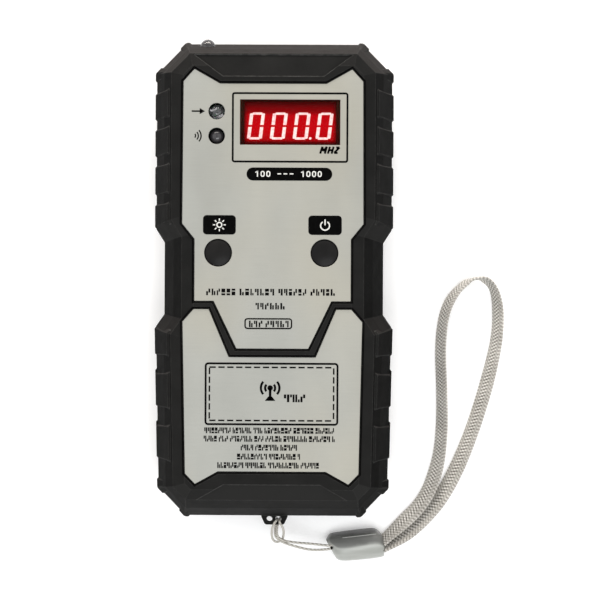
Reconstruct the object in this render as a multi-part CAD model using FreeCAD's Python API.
import FreeCAD, Part
import math
import os

V = FreeCAD.Vector

# ---------------------------------------------------------------------------
# Hand-held frequency counter, lying on its back.  Millimetres, +Z up out of the
# front face, +Y towards the torch end, +X to the right.  Shapes are drawn about
# the case's own centre and moved by CASE_SHIFT_Y when they are written, so that
# the origin is under the middle of the whole object's box.
# ---------------------------------------------------------------------------

# Case
CASE_LENGTH = 159.2
CASE_WIDTH = 80.0
CASE_DEPTH = 34.0
WAIST_WIDTH = 73.4
TAIL_WIDTH = 77.8            # the lower half tapers slightly towards the lug
PARTING_Z = 16.0
CREASE_Z = 32.0              # where the sloping side meets the rim
BACK_EDGE_Z = 3.0            # where the rear shell's side meets its back chamfer
WALL = 2.2
FACE_WALL = 2.0
GRIP_DEPTH = 0.5             # how far the grip pads stand out from the sides
KNEE_Z = 26.0                # where the front shell's side turns towards its crease
PAD_TOP_Z = 30.4
PAD_BOTTOM_Z = 5.0
PAD_ROOT = 1.2               # pads sink this far into the side, widening as they go
CORNER_ROUND = 0.5           # flat cut off each corner bump

# Label panels
PANEL_RECESS = 1.0
PANEL_THICKNESS = 0.6
PANEL_GAP = 0.35
RECESS_LIP = 0.4

# Strap lug and torch at the two ends
LUG_REACH = 2.6
LUG_CENTRE_X = 0.6
LUG_ROOT_WIDTH = 8.8
LUG_TIP_WIDTH = 6.4
LUG_BOTTOM_Z = 12.2
LUG_TOP_Z = 15.8
LUG_HOLE_RADIUS = 1.0
LUG_HOLE_Y = -80.4
LUG_FREE_HOLE_X = -1.1
LUG_CORD_HOLE_X = 1.9
TORCH_REACH = 0.6
TORCH_X = -22.3
TORCH_Z = 19.2
CASE_SHIFT_Y = (LUG_REACH - TORCH_REACH) / 2

# Window and indicator places on the face
WINDOW_X = (-10.8, 21.8)
WINDOW_Y = (43.9, 58.6)
LED_X = -18.45
INPUT_LED_Y = 54.75
IR_RECEIVER_Y = 46.7
LED_RADIUS = 2.5
LED_HOLE_RADIUS = 2.65
BUTTON_X = 17.35            # either side of the buttons' own middle
BUTTON_MIDDLE_X = -0.45
BUTTON_Y = 8.6
BUTTON_RADIUS = 4.2
BUTTON_HOLE_RADIUS = 4.5
BUTTON_TRAVEL = 0.5

# Heights of the inner parts
RECESS_Z = CASE_DEPTH - PANEL_RECESS
CAVITY_Z = RECESS_Z - FACE_WALL
BOARD_THICKNESS = 1.6
BOARD_TOP_Z = 23.1
BOARD_Z = BOARD_TOP_Z - BOARD_THICKNESS
BOARD_HALF_WIDTH = 26.5
BOARD_Y = (-60.0, 69.5)
DISPLAY_SIZE = (30.2, 14.0, 6.5)

# Places on the board
CHIP_PLACE = (12.0, 22.0)
PRESCALER_PLACE = (3.0, -18.0)
CRYSTAL_PLACE = (2.5, 9.0)
CAPACITOR_PLACES = ((-7.5, 22.0), (-7.5, 30.0))
REGULATOR_PLACE = (-22.0, 30.0)
COIL_X = (-20.0, 20.0)
COIL_Y = (-46.5, -29.0)
COIL_BAND = 1.8

# Battery bay
BATTERY_SIZE = (26.5, 46.4, 17.5)
BAY_HALF_WIDTH = 14.0
BAY_Y = (-66.0, -11.6)
BAY_WALL = 1.2
BAY_Z = (2.4, 20.1)
DOOR_HALF_WIDTH = 15.0
DOOR_THICKNESS = 2.2
DOOR_RAIL = 1.3
DOOR_CLEARANCE = 0.2

# Fasteners
CASE_SCREW_X = 30.2
CASE_SCREW_Y = (61.0, -57.0)
CASE_SCREW_RADIUS = 1.15
BOARD_SCREW_X = 23.2
BOARD_SCREW_Y = (65.5, -22.0)
BOARD_SCREW_RADIUS = 0.9

# Wrist strap
CORD_DIAMETER = 0.8
RIBBON_WIDTH = 6.5
RIBBON_THICKNESS = 1.0
CLIP_CENTRE = (28.4, -90.3)
CLIP_LENGTH = 20.0
CLIP_TURN = 6.0

END_Y = CASE_LENGTH / 2


# ---------------------------------------------------------------------------
# Plain geometry helpers
# ---------------------------------------------------------------------------
def box(x, y, z):
    """Block between two x, two y and two z values."""
    return Part.makeBox(x[1] - x[0], y[1] - y[0], z[1] - z[0], V(x[0], y[0], z[0]))


def rod(x, y, z, radius):
    """Upright cylinder between two heights."""
    return Part.makeCylinder(radius, z[1] - z[0], V(x, y, z[0]), V(0, 0, 1))


def mirrored(right_half):
    """Closed outline from its right half, listed from the +Y end to the -Y end."""
    left_half = [(-x, y) for x, y in reversed(right_half)]
    return right_half + left_half


def inset(outline, distances):
    """Outline with each edge moved inwards by its own distance, edges kept parallel."""
    count = len(outline)
    if not isinstance(distances, (list, tuple)):
        distances = [distances] * count
    lines = []
    for i in range(count):
        (x0, y0), (x1, y1) = outline[i], outline[(i + 1) % count]
        length = math.hypot(x1 - x0, y1 - y0)
        nx, ny = (y1 - y0) / length, -(x1 - x0) / length
        lines.append((nx, ny, nx * x0 + ny * y0 + distances[i]))
    corners = []
    for i in range(count):
        (a, b, c), (d, e, f) = lines[i - 1], lines[i]
        det = a * e - b * d
        corners.append(((c * e - b * f) / det, (a * f - c * d) / det))
    return corners


def wire(outline, z):
    points = [V(x, y, z) for x, y in outline]
    return Part.makePolygon(points + [points[0]])


def prism(outline, z):
    """Upright prism of an outline between two heights."""
    return Part.Face(wire(outline, z[0])).extrude(V(0, 0, z[1] - z[0]))


def flat_faces(a, b, c, d):
    """One face through four corners, or two triangles where they don't lie in a plane."""
    normal = (b - a).cross(d - a).normalize()
    if abs(normal.dot(c - a)) < 1e-6:
        return [Part.Face(Part.makePolygon([a, b, c, d, a]))]
    return [Part.Face(Part.makePolygon([a, b, c, a])), Part.Face(Part.makePolygon([a, c, d, a]))]


def hull(*loops):
    """Solid between loops of corner points at rising heights, with flat faces all round."""
    solid = None
    for low, high in zip(loops, loops[1:]):
        faces = [Part.Face(Part.makePolygon(loop + [loop[0]])) for loop in (low, high)]
        for i in range(len(low)):
            j = (i + 1) % len(low)
            faces += flat_faces(low[i], low[j], high[j], high[i])
        part = Part.Solid(Part.Shell(faces))
        if part.Volume < 0:
            part.reverse()
        solid = part if solid is None else solid.fuse(part)
    return solid


def stack(*levels):
    """Solid through outlines at rising heights; matching edges are parallel, so its faces are flat."""
    return hull(*[[V(x, y, z) for x, y in outline] for outline, z in levels])


def tube_path(points):
    """Straight runs joined by tangent arcs; also gives the smallest arc radius."""
    points = [V(*p) for p in points]
    edges = []
    radii = []
    start = points[0]
    for before, corner, after in zip(points, points[1:], points[2:]):
        u = (corner - before).normalize()
        w = (after - corner).normalize()
        half = math.acos(max(-1.0, min(1.0, u.dot(w)))) / 2
        reach = 0.45 * min((corner - before).Length, (after - corner).Length)
        radii.append(reach / math.tan(half))
        first = corner - u * reach
        last = corner + w * reach
        inner = (w - u).normalize()
        middle = corner + inner * (radii[-1] / math.cos(half) - radii[-1])
        edges.append(Part.LineSegment(start, first).toShape())
        edges.append(Part.Arc(first, middle, last).toShape())
        start = last
    edges.append(Part.LineSegment(start, points[-1]).toShape())
    return Part.Wire(edges), radii


# ---------------------------------------------------------------------------
# Case outlines
# ---------------------------------------------------------------------------
HALF = CASE_WIDTH / 2
WAIST = WAIST_WIDTH / 2
TAIL = TAIL_WIDTH / 2
PARTING_OUTLINE = mirrored([
    (29.8, END_Y), (HALF, 69.2), (HALF, 17.6), (WAIST, 12.4),
    (WAIST, -11.6), (HALF, -16.4), (TAIL, -69.9), (29.6, -END_Y),
])


# edge order: top chamfer, upper side, step in, waist, step out, lower side, bottom
# chamfer on the right; bottom end; the same upwards on the left; top end
def edge_values(right, bottom, top):
    """One value for each edge of the case's outline, the same on both sides."""
    return right + [bottom] + right[::-1] + [top]


# the waist and its steps have no pads, so they aren't set back
PARTING_INSET = edge_values([GRIP_DEPTH] * 2 + [0.0] * 3 + [GRIP_DEPTH] * 2, GRIP_DEPTH, GRIP_DEPTH)
KNEE_INSET = edge_values([3.5, 3.8, 3.7, 3.8, 3.6, 3.8, 3.6], 4.1, 3.5)
PAD_TOP_INSET = edge_values([4.8, 5.2, 5.2, 5.4, 5.1, 5.2, 4.9], 5.6, 4.8)
CREASE_INSET = edge_values([5.8, 6.6, 6.6, 6.85, 6.4, 6.6, 6.1], 7.4, 5.75)
RIM_INSET = edge_values([3.6, 4.0, 3.9, 4.1, 3.9, 4.0, 3.8], 3.6, 4.2)
BACK_EDGE_INSET = 3.6
BACK_FACE_INSET = 2.6
SIDE_OUTLINE = inset(PARTING_OUTLINE, PARTING_INSET)
KNEE_OUTLINE = inset(PARTING_OUTLINE, KNEE_INSET)
CREASE_OUTLINE = inset(PARTING_OUTLINE, CREASE_INSET)
RIM_OUTLINE = inset(CREASE_OUTLINE, RIM_INSET)
BUMP_BACK_OUTLINE = inset(PARTING_OUTLINE, BACK_EDGE_INSET)
BACK_EDGE_OUTLINE = inset(BUMP_BACK_OUTLINE, PARTING_INSET)
BACK_OUTLINE = inset(BACK_EDGE_OUTLINE, BACK_FACE_INSET)

UPPER_PANEL = mirrored([
    (17.4, 63.8), (25.7, 68.5), (29.3, 64.5), (29.55, 18.1),
    (25.5, 13.1), (25.5, -7.1), (19.2, -7.1), (11.7, -22.6),
])
LOWER_PANEL = mirrored([
    (14.2, -25.4), (20.8, -9.8), (25.7, -9.8), (29.3, -13.9),
    (28.3, -63.4), (25.0, -66.8), (17.6, -62.7),
])

# Sloping facet let into the rim at each end: inner half width and y, outer half
# width and y
END_FACETS = [((16.5, 66.2), (26.0, 73.4)), ((15.8, -67.0), (24.8, -72.3))]

# Grip pads: y of each one's upper and lower end, where None is the outline's own corner.
# Below the waist their upper ends slant.
UPPER_SIDE, LOWER_SIDE = 1, 5
UPPER_PADS = [(61.9, 53.7), (49.7, 41.5), (37.5, 28.7), (24.6, None)]
LOWER_PADS = [(None, -24.8), (-31.9, -42.1), (-49.2, -59.4)]
PAD_SLANT = 1.5
# Corner bumps: reach of each along its two edges at the parting line and at the crease
BUMPS = {0: ((1.3, 2.6), (1.1, 0.8)), 1: ((2.6, 2.6), (0.8, 0.6)),
         6: ((2.9, 2.6), (1.0, 0.8)), 7: ((2.6, 1.3), (0.8, 1.1))}


def edge_frame(outline, i):
    """Start, direction and inward direction of an outline's edge."""
    (x0, y0), (x1, y1) = outline[i], outline[(i + 1) % len(outline)]
    start = V(x0, y0, 0)
    along = (V(x1, y1, 0) - start).normalize()
    return start, along, V(along.y, -along.x, 0)


def raised(points, z):
    return [V(p.x, p.y, z) for p in points]


def pad_loop(outline, side, top, bottom, z):
    """Plan of one pad at one height: narrower at its face than at its root."""
    start, down, inward = edge_frame(outline, side)
    end = V(*outline[side + 1], 0)
    first = start if top is None else start + down * ((top - start.y) / down.y)
    last = end if bottom is None else start + down * ((bottom - start.y) / down.y)
    root = inward * PAD_ROOT
    return raised([first - down * PAD_ROOT + root, first, last, last + down * PAD_ROOT + root], z)


def side_pad(levels, side, top, bottom, slant):
    """One pad through outlines at rising heights; its top end moves by slant up to the last."""
    loops = []
    for n, (outline, z) in enumerate(levels):
        shifted = None if top is None else top + slant * n / (len(levels) - 1)
        loops.append(pad_loop(outline, side, shifted, bottom, z))
    return hull(*loops)


def bump_loop(outline, corner, reaches, z):
    """Plan of a corner bump at one height, its corner cut flat and its ends widening inwards."""
    start, before, _ = edge_frame(outline, corner - 1)
    point, after, _ = edge_frame(outline, corner)
    inward_before = V(before.y, -before.x, 0)
    inward_after = V(after.y, -after.x, 0)
    low, high = point - before * reaches[0], point + after * reaches[1]
    cut = min(CORNER_ROUND, min(reaches) / 2)
    root = PAD_ROOT
    return raised([
        low - before * root + inward_before * root, low, point - before * cut,
        point + after * cut, high, high + after * root + inward_after * root,
        point + (inward_before + inward_after) * root,
    ], z)


def pads(levels, bump_levels):
    """Every grip pad and corner bump of one shell, on both sides."""
    right = []
    for side, places, slant in ((UPPER_SIDE, UPPER_PADS, 0.0), (LOWER_SIDE, LOWER_PADS, PAD_SLANT)):
        for top, bottom in places:
            right.append(side_pad(levels, side, top, bottom, slant))
    for corner, reaches in BUMPS.items():
        loops = [bump_loop(outline, corner, reach, z) for (outline, z), reach in zip(bump_levels, reaches)]
        right.append(hull(*loops))
    return right + [pad.mirror(V(0, 0, 0), V(1, 0, 0)) for pad in right]


# ---------------------------------------------------------------------------
# Case
# ---------------------------------------------------------------------------
def front_outer():
    body = stack((SIDE_OUTLINE, PARTING_Z), (KNEE_OUTLINE, KNEE_Z), (CREASE_OUTLINE, CREASE_Z),
                 (RIM_OUTLINE, CASE_DEPTH))
    pad_top = inset(PARTING_OUTLINE, PAD_TOP_INSET)
    levels = [(PARTING_OUTLINE, PARTING_Z), (pad_top, PAD_TOP_Z), (inset(pad_top, 0.9), PAD_TOP_Z + 0.5)]
    body = body.fuse(pads(levels, [(PARTING_OUTLINE, PARTING_Z), (CREASE_OUTLINE, CREASE_Z)]))
    for (inner_x, inner_y), (outer_x, outer_y) in END_FACETS:
        low = [V(-inner_x, inner_y, CASE_DEPTH - 0.25), V(inner_x, inner_y, CASE_DEPTH - 0.25),
               V(outer_x, outer_y, CREASE_Z - 0.15), V(-outer_x, outer_y, CREASE_Z - 0.15)]
        high = [V(p.x, p.y, CASE_DEPTH + 2) for p in low]
        body = body.cut(hull(low, high))
    return body


def panel_pockets():
    pockets = []
    for outline in (UPPER_PANEL, LOWER_PANEL):
        grown = inset(outline, -PANEL_GAP)
        pockets.append(prism(grown, (RECESS_Z, CASE_DEPTH + 1)))
        lip = inset(outline, -PANEL_GAP - RECESS_LIP)
        pockets.append(stack((grown, CASE_DEPTH - RECESS_LIP), (lip, CASE_DEPTH)))
    return pockets


def button_x(side):
    """Middle of the left (-1) or right (1) button."""
    return BUTTON_MIDDLE_X + side * BUTTON_X


def face_openings(gap, z):
    """Window, indicator and button openings through the face, each grown by a gap."""
    cuts = [box((WINDOW_X[0] - gap, WINDOW_X[1] + gap), (WINDOW_Y[0] - gap, WINDOW_Y[1] + gap), z)]
    cuts.append(rod(LED_X, INPUT_LED_Y, z, LED_HOLE_RADIUS + gap))
    cuts.append(rod(LED_X, IR_RECEIVER_Y, z, LED_HOLE_RADIUS + gap))
    for side in (-1, 1):
        cuts.append(rod(button_x(side), BUTTON_Y, z, BUTTON_HOLE_RADIUS + gap))
    return cuts


def front_shell():
    body = front_outer()
    cavity = stack((inset(PARTING_OUTLINE, WALL), PARTING_Z - 0.01),
                   (inset(CREASE_OUTLINE, WALL - 0.3), CAVITY_Z))
    body = body.cut(cavity)
    bosses = [rod(side * CASE_SCREW_X, y, (PARTING_Z, CAVITY_Z + 0.5), 3.2)
              for side in (-1, 1) for y in CASE_SCREW_Y]
    bosses += [rod(side * BOARD_SCREW_X, y, (BOARD_TOP_Z, CAVITY_Z + 0.5), 2.4)
               for side in (-1, 1) for y in BOARD_SCREW_Y]
    body = body.fuse([boss.common(front_outer()) for boss in bosses])
    pilots = [rod(side * CASE_SCREW_X, y, (PARTING_Z, 26.0), CASE_SCREW_RADIUS)
              for side in (-1, 1) for y in CASE_SCREW_Y]
    pilots += [rod(side * BOARD_SCREW_X, y, (BOARD_TOP_Z, 28.6), BOARD_SCREW_RADIUS)
               for side in (-1, 1) for y in BOARD_SCREW_Y]
    torch = Part.makeCylinder(LED_HOLE_RADIUS, 12, V(TORCH_X, END_Y - 10, TORCH_Z), V(0, 1, 0))
    return body.cut(panel_pockets() + face_openings(0, (CAVITY_Z - 1, CASE_DEPTH)) + pilots + [torch])


def rear_outer():
    body = stack((BACK_OUTLINE, 0.0), (BACK_EDGE_OUTLINE, BACK_EDGE_Z), (SIDE_OUTLINE, PARTING_Z))
    lean = BACK_EDGE_INSET * (PARTING_Z - PAD_BOTTOM_Z) / (PARTING_Z - BACK_EDGE_Z)
    pad_bottom = inset(PARTING_OUTLINE, lean)
    levels = [(inset(pad_bottom, 0.9), PAD_BOTTOM_Z - 0.5), (pad_bottom, PAD_BOTTOM_Z),
              (PARTING_OUTLINE, PARTING_Z)]
    return body.fuse(pads(levels, [(BUMP_BACK_OUTLINE, BACK_EDGE_Z), (PARTING_OUTLINE, PARTING_Z)]))


def lug():
    tip_y = -END_Y - LUG_REACH
    outline = [
        (LUG_CENTRE_X - LUG_ROOT_WIDTH / 2 - 0.4, -END_Y + 2.4),
        (LUG_CENTRE_X - LUG_ROOT_WIDTH / 2, -END_Y),
        (LUG_CENTRE_X - LUG_TIP_WIDTH / 2, tip_y),
        (LUG_CENTRE_X + LUG_TIP_WIDTH / 2, tip_y),
        (LUG_CENTRE_X + LUG_ROOT_WIDTH / 2, -END_Y),
        (LUG_CENTRE_X + LUG_ROOT_WIDTH / 2 + 0.4, -END_Y + 2.4),
    ]
    solid = prism(outline, (LUG_BOTTOM_Z, LUG_TOP_Z))
    corners = [e for e in solid.Edges
               if abs(e.Vertexes[0].Y - tip_y) < 0.01 and abs(e.Vertexes[0].Y - e.Vertexes[-1].Y) < 0.01
               and abs(e.Vertexes[0].Z - e.Vertexes[-1].Z) > 1]
    return solid.makeFillet(1.0, corners)


def door_slot(gap):
    """Space of the battery door: a flat tongue with a rail along each side."""
    y = (-END_Y - 2, BAY_Y[1] + 0.6 + gap)
    plate = box((-DOOR_HALF_WIDTH - gap, DOOR_HALF_WIDTH + gap), y, (-0.01 * gap, DOOR_THICKNESS + gap))
    rail_x = DOOR_HALF_WIDTH + DOOR_RAIL + gap
    rails = box((-rail_x, rail_x), y, (0.9 - gap / 2, 1.8 + gap / 2))
    return plate.fuse(rails)


def rear_shell():
    outer = rear_outer()
    cavity = stack((inset(BACK_EDGE_OUTLINE, WALL), BACK_EDGE_Z - 0.4),
                   (inset(PARTING_OUTLINE, WALL), PARTING_Z + 0.01))
    body = outer.cut(cavity)
    bay = box((-BAY_HALF_WIDTH - BAY_WALL, BAY_HALF_WIDTH + BAY_WALL),
              (BAY_Y[0] - BAY_WALL, BAY_Y[1] + BAY_WALL), (2.0, BAY_Z[1] + BAY_WALL))
    bosses = [rod(side * CASE_SCREW_X, y, (0.5, PARTING_Z), 3.4).common(outer)
              for side in (-1, 1) for y in CASE_SCREW_Y]
    body = body.fuse([bay, lug()] + bosses)
    cuts = [box((-BAY_HALF_WIDTH, BAY_HALF_WIDTH), BAY_Y, BAY_Z)]
    cuts.append(door_slot(DOOR_CLEARANCE))
    # slot for the battery leads at the top of the bay's end wall
    cuts.append(box((-4.0, 4.0), (BAY_Y[1] - 1, BAY_Y[1] + BAY_WALL + 1), (14.5, BAY_Z[1])))
    for side in (-1, 1):
        for y in CASE_SCREW_Y:
            cuts.append(rod(side * CASE_SCREW_X, y, (-1, PARTING_Z), 1.4))
            cuts.append(rod(side * CASE_SCREW_X, y, (-1, 4.0), 2.5))
    for x in (LUG_FREE_HOLE_X, LUG_CORD_HOLE_X):
        cuts.append(rod(x, LUG_HOLE_Y, (LUG_BOTTOM_Z - 1, LUG_TOP_Z + 1), LUG_HOLE_RADIUS))
    return body.cut(cuts)


def battery_door():
    plate = door_slot(0).common(stack((BACK_OUTLINE, 0.0), (BACK_EDGE_OUTLINE, BACK_EDGE_Z)))
    grooves = [box((-6.0, 6.0), (y, y + 0.8), (-1, 0.5)) for y in (-18.0, -20.0, -22.0, -24.0)]
    return plate.cut(grooves)


def case_screws():
    screws = []
    for side in (-1, 1):
        for y in CASE_SCREW_Y:
            x = side * CASE_SCREW_X
            head = rod(x, y, (2.2, 4.0), 2.2)
            shank = rod(x, y, (4.0, 22.0), CASE_SCREW_RADIUS)
            cross = box((x - 1.3, x + 1.3), (y - 0.25, y + 0.25), (2.0, 3.0))
            cross = cross.fuse(box((x - 0.25, x + 0.25), (y - 1.3, y + 1.3), (2.0, 3.0)))
            screws.append(head.fuse(shank).cut(cross))
    return Part.makeCompound(screws)


def panel(outline, openings):
    plate = prism(outline, (RECESS_Z, RECESS_Z + PANEL_THICKNESS))
    return plate.cut(openings) if openings else plate


# ---------------------------------------------------------------------------
# Display, indicators and buttons
# ---------------------------------------------------------------------------
def display_filter():
    gap = 0.15
    plug = box((WINDOW_X[0] + gap, WINDOW_X[1] - gap), (WINDOW_Y[0] + gap, WINDOW_Y[1] - gap),
               (CAVITY_Z - 0.1, CASE_DEPTH - 0.7))
    flange = box((WINDOW_X[0] - 1.6, WINDOW_X[1] + 1.6), (WINDOW_Y[0] - 1.6, WINDOW_Y[1] + 1.6),
                 (CAVITY_Z - 1.1, CAVITY_Z - 0.1))
    return plug.fuse(flange)


def display_centre():
    return (sum(WINDOW_X) / 2, sum(WINDOW_Y) / 2)


def display_module():
    x, y = display_centre()
    width, height, depth = DISPLAY_SIZE
    return box((x - width / 2, x + width / 2), (y - height / 2, y + height / 2),
               (BOARD_TOP_Z, BOARD_TOP_Z + depth))


def display_pins():
    x, y = display_centre()
    pins = []
    for side in (-1, 1):
        for i in range(6):
            px = x + (i - 2.5) * 2.54
            py = y + side * 5.08
            pins.append(box((px - 0.25, px + 0.25), (py - 0.25, py + 0.25), (BOARD_Z - 1.0, BOARD_Z)))
    return Part.makeCompound(pins)


def led(tip_z):
    """Five millimetre LED standing on its flange, its dome ending at tip_z."""
    base = tip_z - 8.6
    body = rod(0, 0, (base + 1.0, tip_z - LED_RADIUS), LED_RADIUS)
    flange = rod(0, 0, (base, base + 1.0), LED_RADIUS + 0.4)
    dome = Part.makeSphere(LED_RADIUS, V(0, 0, tip_z - LED_RADIUS))
    return body.fuse([flange, dome]).removeSplitter()


FACE_LED_TIP_Z = CASE_DEPTH - 0.7


def face_led(y):
    return led(FACE_LED_TIP_Z).translated(V(LED_X, y, 0))


def torch_led():
    lying = led(0).rotated(V(0, 0, 0), V(1, 0, 0), -90)
    return lying.translated(V(TORCH_X, END_Y + TORCH_REACH, TORCH_Z))


def led_leads():
    leads = []
    for y in (INPUT_LED_Y, IR_RECEIVER_Y):
        for side in (-1, 1):
            x = LED_X + side * 1.27
            leads.append(box((x - 0.25, x + 0.25), (y - 0.25, y + 0.25),
                             (BOARD_TOP_Z, FACE_LED_TIP_Z - 8.6)))
    base_y = END_Y + TORCH_REACH - 8.6
    bend_y = base_y - 3.5
    for side in (-1, 1):
        x = TORCH_X + side * 1.27
        along = box((x - 0.25, x + 0.25), (bend_y, base_y), (TORCH_Z - 0.25, TORCH_Z + 0.25))
        rise = box((x - 0.25, x + 0.25), (bend_y, bend_y + 0.5), (TORCH_Z - 0.25, BOARD_Z))
        leads.append(along.fuse(rise))
    return Part.makeCompound(leads)


SWITCH_TOP_Z = BOARD_TOP_Z + 3.5
PLUNGER_TOP_Z = SWITCH_TOP_Z + 1.5
PLUNGER_RADIUS = 1.7


def switch_body(side):
    x = button_x(side)
    body = box((x - 3, x + 3), (BUTTON_Y - 3, BUTTON_Y + 3), (BOARD_TOP_Z, SWITCH_TOP_Z))
    return body.cut(rod(x, BUTTON_Y, (SWITCH_TOP_Z - 2.2, SWITCH_TOP_Z), PLUNGER_RADIUS + 0.1))


def switch_plunger(side):
    return rod(button_x(side), BUTTON_Y, (SWITCH_TOP_Z - 1.4, PLUNGER_TOP_Z), PLUNGER_RADIUS)


def button_cap(side):
    """Domed cap with a flange under the face and a post down to its switch."""
    x = button_x(side)
    crown_z = CASE_DEPTH + 0.15
    dome_radius = 11.0
    shaft = rod(x, BUTTON_Y, (CAVITY_Z - 0.9, crown_z), BUTTON_RADIUS)
    shaft = shaft.common(Part.makeSphere(dome_radius, V(x, BUTTON_Y, crown_z - dome_radius)))
    flange = rod(x, BUTTON_Y, (CAVITY_Z - 1.3, CAVITY_Z - 0.15), BUTTON_RADIUS + 1.3)
    post = rod(x, BUTTON_Y, (PLUNGER_TOP_Z, CAVITY_Z - 1.3), 2.2)
    return shaft.fuse([flange, post])


# ---------------------------------------------------------------------------
# Board and what stands on it
# ---------------------------------------------------------------------------
def main_board():
    board = box((-BOARD_HALF_WIDTH, BOARD_HALF_WIDTH), BOARD_Y, (BOARD_Z, BOARD_TOP_Z))
    holes = [rod(side * BOARD_SCREW_X, y, (BOARD_Z - 1, BOARD_TOP_Z + 1), BOARD_SCREW_RADIUS + 0.15)
             for side in (-1, 1) for y in BOARD_SCREW_Y]
    return board.cut(holes)


def board_screws():
    screws = []
    for side in (-1, 1):
        for y in BOARD_SCREW_Y:
            head = rod(side * BOARD_SCREW_X, y, (BOARD_Z - 1.2, BOARD_Z), 1.8)
            shank = rod(side * BOARD_SCREW_X, y, (BOARD_Z, 27.6), BOARD_SCREW_RADIUS)
            screws.append(head.fuse(shank))
    return Part.makeCompound(screws)


def chip(place, width, length, height, legs):
    """Surface-mounted chip with gull-wing legs along its two long sides."""
    x, y = place
    body = box((x - width / 2, x + width / 2), (y - length / 2, y + length / 2),
               (BOARD_TOP_Z + 0.15, BOARD_TOP_Z + height))
    pins = []
    for side in (-1, 1):
        for i in range(legs):
            py = y + (i - (legs - 1) / 2) * 1.27
            px = sorted((x + side * (width / 2 - 0.2), x + side * (width / 2 + 1.2)))
            pins.append(box(px, (py - 0.2, py + 0.2), (BOARD_TOP_Z, BOARD_TOP_Z + 0.3)))
    return body.fuse(pins)


def crystal():
    """Quartz crystal can lying flat: a rounded lozenge with a base rim."""
    can = []
    shell_z = (BOARD_TOP_Z + 0.4, BOARD_TOP_Z + 3.6)
    rim_z = (BOARD_TOP_Z, BOARD_TOP_Z + 0.4)
    for radius, z in ((1.9, shell_z), (2.3, rim_z)):
        can.append(box((-3.3, 3.3), (-radius, radius), z))
        can += [rod(x, 0, z, radius) for x in (-3.3, 3.3)]
    return can[0].multiFuse(can[1:]).removeSplitter().translated(V(*CRYSTAL_PLACE, 0))


def electrolytic_capacitors():
    cans = []
    for x, y in CAPACITOR_PLACES:
        can = rod(x, y, (BOARD_TOP_Z, BOARD_TOP_Z + 6.5), 2.5)
        top_edges = [e for e in can.Edges if e.Closed and e.BoundBox.ZMin > BOARD_TOP_Z + 6]
        cans.append(can.makeFillet(0.4, top_edges))
    return Part.makeCompound(cans)


def voltage_regulator():
    """Small three-legged package: a round body with one flat side."""
    x, y = REGULATOR_PLACE
    body = rod(x, y, (BOARD_TOP_Z + 1.5, BOARD_TOP_Z + 6.0), 2.4)
    body = body.cut(box((x - 3, x + 3), (y + 1.2, y + 4), (BOARD_TOP_Z, BOARD_TOP_Z + 7)))
    legs = [box((x + dx - 0.2, x + dx + 0.2), (y - 0.2, y + 0.2), (BOARD_TOP_Z, BOARD_TOP_Z + 1.6))
            for dx in (-1.27, 0.0, 1.27)]
    return body.fuse(legs)


def row_on_board(first_x, pitch, count, y, size):
    """Equal small packages in a row along X, lying on the board."""
    width, length, height = size
    blocks = []
    for i in range(count):
        x = first_x + i * pitch
        blocks.append(box((x - width / 2, x + width / 2), (y - length / 2, y + length / 2),
                          (BOARD_TOP_Z, BOARD_TOP_Z + height)))
    return Part.makeCompound(blocks)


def driver_transistors():
    return row_on_board(-4.0, 6.0, 4, 38.45, (1.3, 2.9, 1.1))


def chip_resistors():
    return row_on_board(-1.0, 3.0, 8, 33.4, (1.2, 2.0, 0.6))


def pickup_coil():
    (x0, x1), (y0, y1) = COIL_X, COIL_Y
    outer = box((x0, x1), (y0, y1), (BOARD_TOP_Z, BOARD_TOP_Z + 1.6))
    hole = box((x0 + COIL_BAND, x1 - COIL_BAND), (y0 + COIL_BAND, y1 - COIL_BAND),
               (BOARD_TOP_Z - 1, BOARD_TOP_Z + 2))
    return outer.cut(hole)


# ---------------------------------------------------------------------------
# Battery
# ---------------------------------------------------------------------------
BATTERY_FOOT_Y = BAY_Y[0] + 0.4
BATTERY_HEAD_Y = BATTERY_FOOT_Y + BATTERY_SIZE[1]
BATTERY_MID_Z = BAY_Z[0] + 0.05 + BATTERY_SIZE[2] / 2


def battery():
    width, length, height = BATTERY_SIZE
    block = box((-width / 2, width / 2), (BATTERY_FOOT_Y, BATTERY_HEAD_Y),
                (BATTERY_MID_Z - height / 2, BATTERY_MID_Z + height / 2))
    return block.makeFillet(2.0, [e for e in block.Edges if abs(e.Vertexes[0].Y - e.Vertexes[1].Y) > 1])


def along_y(x, z, y, radius):
    return Part.makeCylinder(radius, y[1] - y[0], V(x, y[0], z), V(0, 1, 0))


def battery_terminals():
    stud = along_y(-6.35, BATTERY_MID_Z, (BATTERY_HEAD_Y, BATTERY_HEAD_Y + 2.1), 2.8)
    socket = along_y(6.35, BATTERY_MID_Z, (BATTERY_HEAD_Y, BATTERY_HEAD_Y + 2.1), 4.0)
    return Part.makeCompound([stud, socket])


def battery_snap():
    y = (BATTERY_HEAD_Y + 2.1, BATTERY_HEAD_Y + 4.6)
    return box((-12.6, 12.6), y, (BATTERY_MID_Z - 6, BATTERY_MID_Z + 6))


def battery_lead(x):
    """One lead from the snap's top edge up through the bay's slot to the board."""
    start_y = BATTERY_HEAD_Y + 4.6
    points = [
        (x, start_y, 16.6), (x, start_y + 2.2, 16.6), (x * 1.25, start_y + 5.0, 17.2),
        (x, start_y + 7.4, 18.9), (x, start_y + 7.4, BOARD_Z),
    ]
    path, radii = tube_path(points)
    print("battery lead: smallest radius %.1f mm" % min(radii))
    profile = Part.Wire(Part.makeCircle(0.6, V(*points[0]), V(*points[1]) - V(*points[0])))
    return path.makePipeShell([profile], True, True)


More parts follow.
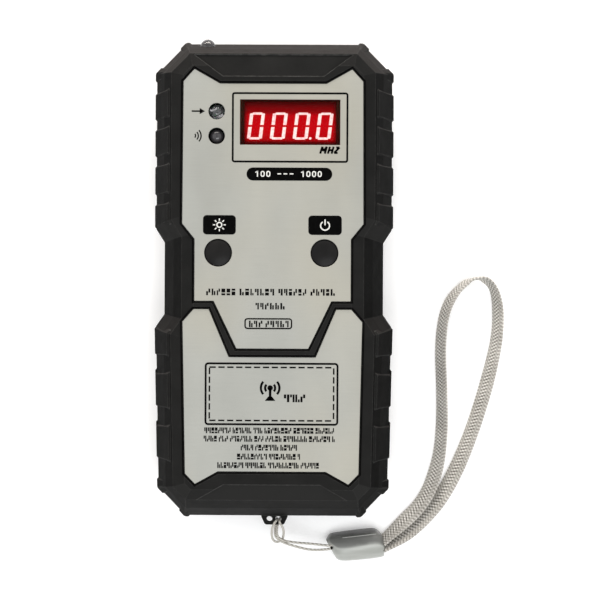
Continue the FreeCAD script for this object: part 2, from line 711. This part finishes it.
# ---------------------------------------------------------------------------
# Wrist strap
# ---------------------------------------------------------------------------
CORD_ROUTE = [
    (20.2, -91.2, 4.7), (14.6, -90.9, 6.6), (9.0, -89.9, 8.6), (4.1, -88.0, 10.3),
    (1.5, -84.6, 10.8), (1.45, LUG_HOLE_Y, 10.8), (1.45, LUG_HOLE_Y, 16.9), (0.7, -83.2, 16.9),
    (-0.5, -85.6, 13.6), (0.1, -88.2, 9.6), (2.9, -89.0, 8.2), (4.9, -86.4, 8.8),
    (3.9, -83.9, 13.6), (2.35, -82.9, 16.9), (2.35, LUG_HOLE_Y, 16.9), (2.35, LUG_HOLE_Y, 10.8),
    (2.7, -83.9, 10.8), (5.6, -86.9, 10.4), (10.0, -88.5, 8.7), (15.0, -89.3, 6.7), (20.2, -90.0, 5.0),
]
RIBBON_ROUTE = [
    (37.2, -89.4), (43.0, -84.2), (52.0, -75.4), (56.4, -63.2), (57.7, -50.4), (57.5, -37.0),
    (56.8, -22.0), (58.0, -10.4), (61.8, -3.4), (67.4, 0.8), (73.2, -0.6), (76.4, -6.6),
    (76.7, -18.0), (74.0, -31.0), (70.6, -43.2), (66.9, -54.2), (62.6, -64.8), (57.4, -74.4),
    (51.2, -81.8), (44.6, -87.6), (37.4, -91.4),
]


def strap_cord():
    path, radii = tube_path(CORD_ROUTE)
    print("strap cord radii:", ", ".join("%.1f" % r for r in radii))
    start = V(*CORD_ROUTE[0])
    section = Part.makeCircle(CORD_DIAMETER / 2, start, V(*CORD_ROUTE[1]) - start)
    solid = path.makePipeShell([Part.Wire(section)], True, False)
    expected = math.pi * CORD_DIAMETER ** 2 / 4 * path.Length
    print("strap cord: length %.1f mm, volume %.2f of %.2f mm3" % (path.Length, solid.Volume, expected))
    return solid


def strap_ribbon():
    """Flat braid lying on its edge, drawn as a plain band."""
    middle_z = RIBBON_WIDTH / 2 + 0.1
    path, radii = tube_path([(x, y, middle_z) for x, y in RIBBON_ROUTE])
    print("strap ribbon radii:", ", ".join("%.1f" % r for r in radii))
    start = V(RIBBON_ROUTE[0][0], RIBBON_ROUTE[0][1], middle_z)
    ahead = (V(RIBBON_ROUTE[1][0], RIBBON_ROUTE[1][1], middle_z) - start).normalize()
    across = V(-ahead.y, ahead.x, 0) * (RIBBON_THICKNESS / 2)
    up = V(0, 0, RIBBON_WIDTH / 2)
    corners = [start - across - up, start + across - up, start + across + up, start - across + up]
    section = Part.makePolygon(corners + [corners[0]])
    solid = path.makePipeShell([section], True, False)
    expected = RIBBON_WIDTH * RIBBON_THICKNESS * path.Length
    print("strap ribbon: length %.1f mm, volume %.1f of %.1f mm3" % (path.Length, solid.Volume, expected))
    return solid


def strap_clip():
    """Moulded clip that joins the braid to the thin cord."""
    right_side = [(0.4, 7.2), (4.6, 4.6), (5.3, 2.2), (2.8, 0.0)]
    section = mirrored(right_side)
    points = [V(-CLIP_LENGTH / 2, y, z) for y, z in section]
    bar = Part.Face(Part.makePolygon(points + [points[0]])).extrude(V(CLIP_LENGTH, 0, 0))
    half = CLIP_LENGTH / 2
    plan = [(-half, -1.2), (-half + 4.2, -5.6), (half - 1.2, -5.6), (half, -4.2),
            (half, 1.2), (half - 3.8, 5.6), (-half + 3.4, 5.6), (-half, 2.2)]
    bar = bar.common(prism(plan, (-1, 9)))
    bar = bar.makeFillet(0.45, [e for e in bar.Edges if e.BoundBox.ZMax > 2.5])
    mouth = box((-half - 1, -half + 3), (-1.3, 1.3), (3.7, 6.0))
    bar = bar.cut(mouth)
    bar.rotate(V(0, 0, 0), V(0, 0, 1), CLIP_TURN)
    return bar.translated(V(CLIP_CENTRE[0], CLIP_CENTRE[1], 0))


# ---------------------------------------------------------------------------
# All nodes
# ---------------------------------------------------------------------------
def all_parts():
    panel_cuts = face_openings(0.05, (RECESS_Z - 1, CASE_DEPTH + 1))
    return {
        "front_shell": front_shell(),
        "rear_shell": rear_shell(),
        "battery_door": battery_door(),
        "case_screws": case_screws(),
        "upper_panel": panel(UPPER_PANEL, panel_cuts),
        "lower_panel": panel(LOWER_PANEL, []),
        "display_filter": display_filter(),
        "display_module": display_module(),
        "display_pins": display_pins(),
        "input_led": face_led(INPUT_LED_Y),
        "ir_receiver": face_led(IR_RECEIVER_Y),
        "torch_led": torch_led(),
        "led_leads": led_leads(),
        "light_button": button_cap(-1),
        "power_button": button_cap(1),
        "light_switch_body": switch_body(-1),
        "power_switch_body": switch_body(1),
        "light_switch_plunger": switch_plunger(-1),
        "power_switch_plunger": switch_plunger(1),
        "main_board": main_board(),
        "board_screws": board_screws(),
        "microcontroller": chip(CHIP_PLACE, 7.5, 17.9, 2.6, 14),
        "prescaler_chip": chip(PRESCALER_PLACE, 3.9, 4.9, 1.6, 4),
        "crystal": crystal(),
        "voltage_regulator": voltage_regulator(),
        "electrolytic_capacitors": electrolytic_capacitors(),
        "driver_transistors": driver_transistors(),
        "chip_resistors": chip_resistors(),
        "pickup_coil": pickup_coil(),
        "battery": battery(),
        "battery_terminals": battery_terminals(),
        "battery_snap": battery_snap(),
        "battery_lead_red": battery_lead(-1.6),
        "battery_lead_black": battery_lead(1.6),
        "strap_cord": strap_cord(),
        "strap_clip": strap_clip(),
        "strap_ribbon": strap_ribbon(),
    }


os.makedirs("parts", exist_ok=True)
for node, shape in all_parts().items():
    placed = shape.translated(V(0, CASE_SHIFT_Y, 0))
    placed.exportStep("parts/%s.step" % node)
    extent = placed.BoundBox
    print("%-24s solids %d valid %s volume %9.1f  x %.1f..%.1f y %.1f..%.1f z %.1f..%.1f" % (
        node, len(placed.Solids), placed.isValid(), placed.Volume,
        extent.XMin, extent.XMax, extent.YMin, extent.YMax, extent.ZMin, extent.ZMax))
